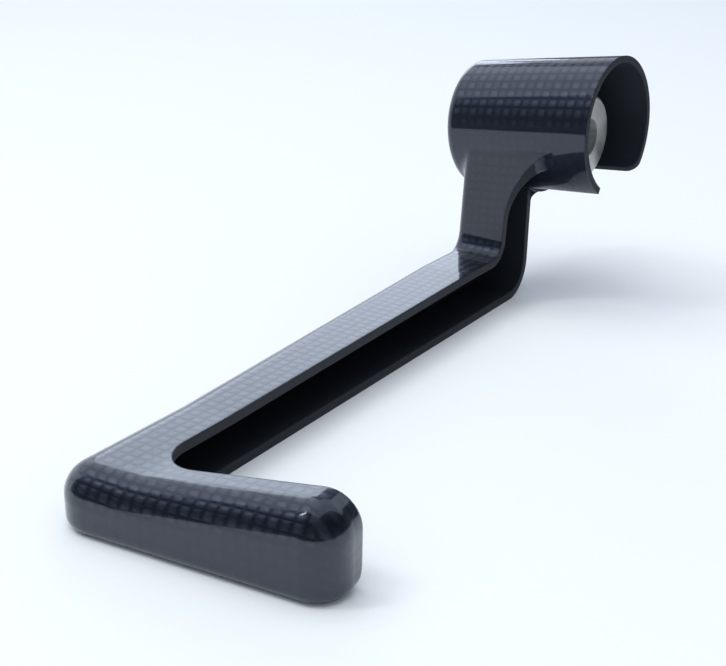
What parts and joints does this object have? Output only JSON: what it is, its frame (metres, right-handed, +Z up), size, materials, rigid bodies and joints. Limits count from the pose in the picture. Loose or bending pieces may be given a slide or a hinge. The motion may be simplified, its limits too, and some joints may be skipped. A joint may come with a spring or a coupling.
{
  "type": "brake lever guard",
  "caption": "Hook-shaped woven carbon guard that fixes to a handlebar's end and reaches round the brake lever's tip, with a slotted collar, a channel-section arm and a metal bush.",
  "frame": {"origin": "centre of the bush's inboard face, which the handlebar's end seats on", "axes": "+X along the handlebar's axis towards the rider's hand, -Y forward to the foot, +Z up"},
  "size_m": [0.0681, 0.1673, 0.0597],
  "materials": {
    "carbon": "woven carbon fibre under a clear gloss coat",
    "bush_metal": "plain turned aluminium"
  },
  "bodies": {
    "root": {"guard_moulding": "carbon", "bar_end_insert": "bush_metal"}
  },
  "joints": []
}
